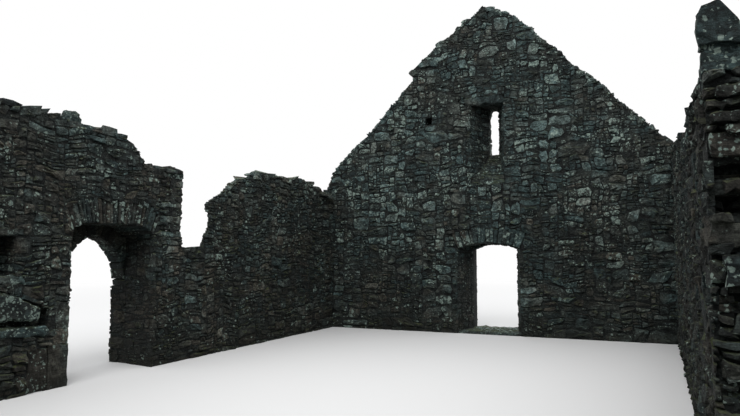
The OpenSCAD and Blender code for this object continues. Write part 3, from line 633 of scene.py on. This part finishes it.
def dress(name, seed, look, wear):
    """A worn, rough copy of a node's stones, which stands for it; wear is rounding, roughness and stray."""
    rounding, roughness, stray = wear
    random = np.random.default_rng(seed)
    work = bmesh.new()
    work.from_mesh(nodes[name].data)
    bmesh.ops.remove_doubles(work, verts=work.verts, dist=same_place)
    bmesh.ops.dissolve_limit(work, angle_limit=0.02, verts=work.verts, edges=work.edges)
    if rounding:
        bmesh.ops.bevel(work, geom=work.edges, offset=rounding, segments=1, affect="EDGES",
                        clamp_overlap=True)
    for _ in range(halvings):
        long_edges = [edge for edge in work.edges if edge.calc_length() > longest_edge]
        if long_edges:
            bmesh.ops.subdivide_edges(work, edges=long_edges, cuts=1, use_grid_fill=True)
    bmesh.ops.triangulate(work, faces=work.faces)
    layer = work.verts.layers.float_color.new("stone")
    for one in list(split_stones(work)):
        crusted = random.random() < look[2] * 1.4
        shade = float(np.clip(random.normal(look[0] + 0.1, 0.2), 0, 1))
        crust = float(0.9 if crusted else random.random() * 0.7)
        brown = float(np.clip(random.normal(look[1], 0.24), -1, 1))
        if look[2] > 1:
            crust = look[2]
        away = Vector(random.uniform(-40, 40, 3))
        slide = Vector(random.uniform(-stray, stray, 3))
        for vertex in one:
            vertex[layer] = (shade, crust, brown, 1.0)
            worn = sum((share * noise.noise_vector(vertex.co * waves_each_metre + away)
                        for waves_each_metre, share in wear_waves), Vector())
            vertex.co += slide + worn * roughness
            vertex.co.z = max(vertex.co.z, 0.0)
    mesh = bpy.data.meshes.new(name + "_worn")
    work.to_mesh(mesh)
    work.free()
    mesh.shade_flat()
    mesh.materials.append(stone)
    piece = bpy.data.objects.new(name + "_worn", mesh)
    bpy.context.scene.collection.objects.link(piece)
    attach(piece, "root")
    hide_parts(name)
    return piece


widest_joint = 0.04
raked_back = 0.03


def point_joints(name):
    """The mortar in the joints between a node's stones, raked back from their faces."""
    work = bmesh.new()
    work.from_mesh(nodes[name].data)
    bmesh.ops.remove_doubles(work, verts=work.verts, dist=same_place)
    stones = [np.array([vertex.co for vertex in one]) for one in split_stones(work)]
    work.free()
    filled = bmesh.new()
    for i, one in enumerate(stones):
        for other in stones[i + 1:]:
            gaps = np.linalg.norm(one[:, None] - other[None], axis=2)
            if gaps.min() > widest_joint:
                continue
            way = other.mean(0) - one.mean(0)
            facing_sides = [one[np.argsort(-(one @ way))[:4]], other[np.argsort(other @ way)[:4]]]
            middle = np.concatenate(facing_sides).mean(0)
            corners = []
            for side in facing_sides:
                for point in side:
                    away = point - middle
                    across = away - way * (away @ way) / (way @ way)
                    back = min(raked_back / max(np.linalg.norm(across), raked_back), 0.5)
                    corners.append(filled.verts.new(point - across * back))
            bmesh.ops.convex_hull(filled, input=corners)
    mesh = bpy.data.meshes.new(name + "_mortar")
    filled.to_mesh(mesh)
    filled.free()
    mesh.materials.append(mortar)
    piece = bpy.data.objects.new(name + "_mortar", mesh)
    bpy.context.scene.collection.objects.link(piece)
    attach(piece, "root")


arch_look = (0.3, 0.0, 0.45)
arch_wear = (0.009, 0.009, 0.01)
slab_wear = (0.014, 0.017, 0.006)
dress("gable_door_rear_arch", 100, arch_look, arch_wear)
point_joints("gable_door_rear_arch")
dress("gable_door_front_arch", 101, arch_look, arch_wear)
point_joints("gable_door_front_arch")
dress("gable_door_threshold", 102, gable_look, slab_wear)


# Gable window: a narrow pointed light in a frame of dressed stones, and over its splay a flat slab whose
# colour
# is painted dark all over: painted shade for the dark underneath.
shaded_slab_look = (0.0, 0.1, 0.1)
window_slab_wear = (0.02, 0.03, 0.0)
dress("window_frame", 103, gable_look, slab_wear)
dress("window_rear_slab", 104, shaded_slab_look, window_slab_wear)


# Left wall: the same rubble, broken down at the breach. Its faces, its reveals and the niche's sides are
# laid as on the gable, and so are the outer faces, which run on over the gables' ends.
clear_of_gable = 0.1
left_look = (0.16, 0.2, 0.16)
# The reveals' look is painted darker than the wall's, as painted shade for the recesses; it is also browner
# and less crusted.
sheltered_and_shaded_look = (0.06, 0.35, 0.08)
face_wall("left_wall_nave_stones",
          steep_faces(lambda m, k: k[0] == square_on and abs(m[0] - nave_side) < near),
          seed=4, detail=close_up, look=left_look, size=1.02)
face_wall("left_wall_outer_stones",
          steep_faces(lambda m, k: k[0] == -square_on and m[0] < outer_side + near),
          seed=5, detail=far_off, look=left_look, build=blocky, size=outer_size)
face_wall("left_wall_reveal_stones",
          steep_faces(lambda m, k: outer_side + near < m[0] < nave_side - near
                      and abs(m[1]) < nave_end - clear_of_gable),
          seed=6, detail=close_up, look=sheltered_and_shaded_look, size=0.95, proud=flush)


# Corner stones up the breach in the left wall: slabs that run alternately along the wall and into it.
# They are bedded flat in mortar, and the topmost lean out over the gap.
dress("left_wall_breach_quoins", 105, left_look, slab_wear)
point_joints("left_wall_breach_quoins")


# Side doorway: a flat rear arch of thin slabs between bent haunches, and a pointed front arch outside it.
# The near jamb stands on a large block with a stone set on end.
side_arch_look = (0.08, 0.4, 0.12)
jamb_look = (0.1, 0.6, 0.1)
dress("side_door_rear_arch", 106, side_arch_look, arch_wear)
point_joints("side_door_rear_arch")
# The front arch takes the reveals' look: painted darker, as painted shade under the arch.
dress("side_door_front_arch", 107, sheltered_and_shaded_look, arch_wear)
point_joints("side_door_front_arch")
dress("side_door_jamb_stones", 108, jamb_look, slab_wear)


# Niche in the left wall: a sill slab and a lintel slab bedded in the rubble, with the recess between them.
# Under it a lichened block sits loose in a hollow, on a ledge slab. Under its pale crusts the block is
# painted dark, as painted shade of the hollow.
shaded_block_look = (0.05, 0.1, 1.5)
ledge_look = (0.0, -0.3, 0.0)
lichened_look = (0.5, -0.7, 1.35)
lichened_wear = (0.02, 0.022, 0.0)
dress("niche_sill_slab", 109, left_look, slab_wear)
dress("niche_lintel", 110, left_look, slab_wear)
dress("left_wall_hollow_block", 111, shaded_block_look, lichened_wear)
dress("left_wall_ledge_slab", 112, ledge_look, slab_wear)


# Boulder on the left wall's top: a field stone of the same slate, rounded and unworked. It sits over the
# side doorway without mortar, bedded a little way into the top.
boulder_wear = (0.0, 0.02, 0.0)
dress("wall_top_boulder", 113, left_look, boulder_wear)


# Right wall: the same rubble, painted darker. It stands by the gable, is down to its footing in the
# middle and rises again at the far end, and its broken end shows the core.
end_proud = (0.075, 0.03)
right_look = (-0.05, 0.15, 0.06)
broken_look = (0.02, 0.4, 0.12)
face_wall("right_wall_nave_stones",
          steep_faces(lambda m, k: k[0] == -square_on and abs(m[0] + nave_side) < near),
          seed=7, detail=far_off, look=right_look, build=blocky, size=1.2)
face_wall("right_wall_outer_stones",
          steep_faces(lambda m, k: k[0] == square_on and m[0] > -outer_side - near),
          seed=8, detail=far_off, look=left_look, build=blocky, size=outer_size)
face_wall("right_wall_end_stones",
          steep_faces(lambda m, k: -nave_side + near < m[0] < -outer_side - near
                      and abs(m[1]) < nave_end - clear_of_gable),
          seed=9, detail=close_up, look=broken_look, size=0.9, proud=end_proud)


# Broken end of the right wall: long bonding stones run back into it and stand out, since the rubble between
# them fell. On its top an upright stone stands on thin slabs, with pale lichen all over.
bonding_wear = (0.025, 0.028, 0.006)
dress("right_wall_end_quoins", 114, broken_look, bonding_wear)
upright = dress("right_wall_upright_stone", 115, lichened_look, lichened_wear)
broken_from, broken_fall, left_over = Vector((3.365, 0, 3.03)), 1.6, 0.2
for vertex in upright.data.vertices:
    limit = broken_from.z - broken_fall * (vertex.co.x - broken_from.x)
    if vertex.co.x > broken_from.x and vertex.co.z > limit:
        vertex.co.z = limit + left_over * (vertex.co.z - limit)


# End gable: the same rubble again, laid in the same way, with a window like the first gable's and no
# doorway. The window's frame and slab are dressed from the same slate.
face_wall("end_gable_nave_stones",
          steep_faces(lambda m, k: k[1] == square_on and abs(m[1] + nave_end) < near),
          seed=10, detail=far_off, look=gable_look, build=blocky, size=1.25)
face_wall("end_gable_outer_stones",
          steep_faces(lambda m, k: k[1] == -square_on and m[1] < -nave_end - past_middle),
          seed=11, detail=far_off, look=gable_look, build=blocky, size=outer_size)
face_wall("end_gable_reveal_stones",
          steep_faces(lambda m, k: m[1] < -nave_end - near and abs(k[1]) < square_on
                      and abs(m[0]) < openings_half_width),
          seed=12, detail=far_off, look=gable_look, size=0.95, proud=flush)
dress("end_window_frame", 116, gable_look, slab_wear)
# Its rear slab is painted dark like the first one, as painted shade for its underside.
dress("end_window_rear_slab", 117, shaded_slab_look, window_slab_wear)


# Broken wall tops: the flat stones of the core lie bare where the coping and the roof's wall plates were
# robbed. They bed level, lapping over each other, and rubble faces the slopes of the rakes and breaks.
block_cuts = 2
squareness = 10


def blocks_at(places, half, yaw, random):
    """Rough angular blocks at these places, with these half sizes and turned about the vertical."""
    step = np.linspace(-1, 1, block_cuts + 1)
    cube = {}
    quads = []
    for axis in range(3):
        for side in (-1.0, 1.0):
            for i in range(block_cuts):
                for j in range(block_cuts):
                    corner = []
                    for a, b in ((i, j), (i + 1, j), (i + 1, j + 1), (i, j + 1)):
                        p = np.empty(3)
                        p[axis], p[(axis + 1) % 3], p[(axis + 2) % 3] = side, step[a], step[b]
                        corner.append(cube.setdefault(tuple(np.round(p, 4)), len(cube)))
                    quads.append(corner if side > 0 else corner[::-1])
    ball = np.array(list(cube))
    ball /= (np.abs(ball) ** squareness).sum(1, keepdims=True) ** (1 / squareness)
    count = len(places)
    body = ball[None] * half[:, None] * (1 + random.normal(0, 0.1, (count, len(ball), 3)))
    body *= 1 + random.normal(0, 0.16, (count, 1, 3)) * np.roll(ball, 1, 1)[None]
    lean = random.normal(0, 0.09, (count, 2))
    body[..., 2] += body[..., 0] * lean[:, :1] + body[..., 1] * lean[:, 1:]
    cos, sin = np.cos(yaw)[:, None], np.sin(yaw)[:, None]
    turned = np.stack([body[..., 0] * cos - body[..., 1] * sin,
                       body[..., 0] * sin + body[..., 1] * cos, body[..., 2]], -1)
    start = np.arange(count)[:, None, None] * len(ball)
    no_fans = np.zeros((0, 3), int)
    return turned + places[:, None], (np.array(quads)[None] + start).reshape(-1, 4), no_fans


smallest_top = 0.06
gentle_slope, size_on_slope, sunk_on_slope = 34, 0.65, 0.05
cells_a_try, fewest_tries = 4, 8
tops_apart = 0.13
past_edge, broad_top = 0.02, 0.7
flat_half, thick_half = (0.06, 0.15), (0.026, 0.06)


def crown_walls(name, inside, seed, look):
    """Loose flat stones over every rubble face that looks up and passes the test: smaller down a rake."""
    random = np.random.default_rng(seed)
    places, bounds, sizes = [], [], []
    for key in faces_where(lambda m, k: k[2] >= slanting and not is_sill(m, k) and inside(m)):
        face = WallFace(key)
        up, across = np.nonzero(face.open)
        if len(up) * grid * grid < smallest_top:
            continue
        points = face.place(np.column_stack([across, up]) * grid, np.zeros(len(up)))
        picked = random.permutation(len(points))[:max(len(points) // cells_a_try, fewest_tries)]
        places.append(points[picked])
        bounds.append(np.repeat([np.concatenate([points.min(0), points.max(0)])], len(picked), 0))
        sizes.append(np.full(len(picked), size_on_slope if key[2] < gentle_slope else 1.0))
    places, bounds, sizes = np.concatenate(places), np.concatenate(bounds), np.concatenate(sizes)
    kept = []
    for i in random.permutation(len(places)):
        if not kept or (np.abs(places[kept] - places[i]).max(1) > tops_apart * sizes[i]).all():
            kept.append(i)
    places, bounds, sizes = places[kept], bounds[kept], sizes[kept]
    count = len(places)
    half = np.column_stack([random.uniform(*span, count) for span in (flat_half, flat_half, thick_half)])
    half = half * sizes[:, None]
    for axis in range(2):
        broad = bounds[:, 3 + axis] - bounds[:, axis] > broad_top
        low = bounds[:, axis] + half[:, axis] - past_edge
        high = bounds[:, 3 + axis] - half[:, axis] + past_edge
        places[:, axis] = np.where(broad, np.clip(places[:, axis], low, high), places[:, axis])
    places[:, 2] -= half[:, 2] * random.uniform(0.0, 0.6, count) + sunk_on_slope * (sizes < 1)
    places[:, 2] = np.maximum(places[:, 2], half[:, 2])
    yaw = random.normal(0, 0.2, count)
    join_stones(name, [blocks_at(places, half, yaw, random)], random, look)


nearly_level = 37
clear_of_openings = 1.2


def is_slope(middle, key):
    """A face on the slant, where a wall is broken down, or the underside of what leans out there."""
    broken_down = slanting <= key[2] < nearly_level and not is_sill(middle, key)
    leaning_out = key[2] < -slanting and abs(middle[0]) > clear_of_openings
    return broken_down or leaning_out


wall_tops = (
    ("door_gable", 21, gable_look, lambda m: m[1] > nave_end),
    ("end_gable", 22, gable_look, lambda m: m[1] < -nave_end),
    ("left_wall", 23, left_look, lambda m: m[0] < nave_side and abs(m[1]) < nave_end),
    ("right_wall", 24, right_look, lambda m: m[0] > -nave_side and abs(m[1]) < nave_end),
)
for wall, seed, look, on_wall in wall_tops:
    crown_walls(wall + "_top_stones", on_wall, seed, look)
    slopes = faces_where(lambda m, k: is_slope(m, k) and on_wall(m))
    face_wall(wall + "_slope_stones", slopes, seed + 10, far_off, look, blocky, size=1.2)


# A plain pale floor under an even pale sky, with a large soft light high in front and a weak one behind.
# The floor fades to white far out, for rays that the camera sees, so that no horizon shows.
reach = 60.0
floor_corners = [(-reach, -reach, 0), (reach, -reach, 0), (reach, reach, 0), (-reach, reach, 0)]
floor_mesh = bpy.data.meshes.new("floor")
floor_mesh.from_pydata(floor_corners, [], [(0, 1, 2, 3)])
floor = bpy.data.objects.new("floor", floor_mesh)
bpy.context.scene.collection.objects.link(floor)


def seen_straight(tree):
    """One for rays that the camera sends, straight or off something shiny or clear, else nought."""
    ray = add_node(tree, "LightPath")
    shiny = add_math(tree, "MAXIMUM", ray.outputs["Is Glossy Ray"], ray.outputs["Is Transmission Ray"])
    return add_math(tree, "MAXIMUM", ray.outputs["Is Camera Ray"], shiny)


floor_own, floor_seen = (0.13, 0.14, 0.12, 1), (0.5, 0.5, 0.5, 1)
white = (1, 1, 1, 1)
pale_floor, tree, shader = new_material("pale_floor", 1.0)
seen = seen_straight(tree)
tree.links.new(add_mix(tree, seen, floor_own, floor_seen), shader.inputs["Base Color"])
place = add_node(tree, "TexCoord").outputs["Object"]
outwards = add_node(tree, "VectorMath", {0: place}, operation="LENGTH").outputs["Value"]
faded = add_ramp(tree, add_math(tree, "DIVIDE", outwards, reach), [(0.16, 0.0), (0.5, 1.0)])
glow = add_node(tree, "Emission", {"Color": white, "Strength": 1.0}).outputs[0]
seen_and_faded = add_math(tree, "MULTIPLY", seen, faded)
fading = add_node(tree, "MixShader", {0: seen_and_faded, 1: shader.outputs[0], 2: glow}).outputs[0]
tree.links.new(fading, tree.nodes["Material Output"].inputs["Surface"])
floor_mesh.materials.append(pale_floor)

horizon, zenith, sky_strength = (0.5, 0.52, 0.54, 1), (1.0, 1.0, 1.0, 1), 2.0
world = bpy.data.worlds.new("pale_sky")
world.use_nodes = True
tree = world.node_tree
background = tree.nodes["Background"]
direction = add_node(tree, "TexCoord").outputs["Generated"]
climb = add_node(tree, "SeparateXYZ", {"Vector": direction}).outputs[2]
sky = add_ramp(tree, climb, [(0.0, horizon), (1.0, zenith)])
tree.links.new(sky, background.inputs["Color"])
background.inputs["Strength"].default_value = sky_strength
plain = add_node(tree, "Background", {"Color": white, "Strength": 1.0}).outputs[0]
shared = add_node(tree, "MixShader", {0: seen_straight(tree), 1: background.outputs[0], 2: plain})
tree.links.new(shared.outputs[0], tree.nodes["World Output"].inputs["Surface"])
bpy.context.scene.world = world

# Each lamp's name, place, what it points at, and its power in watts
lamps = (("key", (1.5, -9, 14), (0, 3, 1.5), 1700), ("back", (9, 14, 11), (0, 0, 1.5), 800))
lamp_size = 9.0
for name, place, aim, power in lamps:
    lamp = bpy.data.lights.new(name, "AREA")
    lamp.energy = power
    lamp.size = lamp_size
    holder = bpy.data.objects.new(name, lamp)
    holder.location = place
    holder.rotation_euler = (Vector(aim) - Vector(place)).to_track_quat("-Z", "Y").to_euler()
    bpy.context.scene.collection.objects.link(holder)

# The photograph's view: the eye stands close to the right wall and looks up a little and to the left.
# Lengths are in metres and angles in degrees.
eye_across, eye_from_gable, eye_height = 2.968, 12.0, 1.5
look_up, look_left = 4.17, 24.12
photo_width, focal_pixels = 740, 640
camera_data = bpy.data.cameras.new("camera")
camera_data.sensor_width = 36.0
camera_data.lens = focal_pixels / photo_width * camera_data.sensor_width
camera_data.clip_end = 300
camera = bpy.data.objects.new("camera", camera_data)
camera.location = (eye_across, nave_end - eye_from_gable, eye_height)
camera.rotation_euler = (math.radians(90 + look_up), 0, math.radians(look_left))
bpy.context.scene.collection.objects.link(camera)
bpy.context.scene.camera = camera
bpy.context.scene.view_settings.view_transform = "Standard"
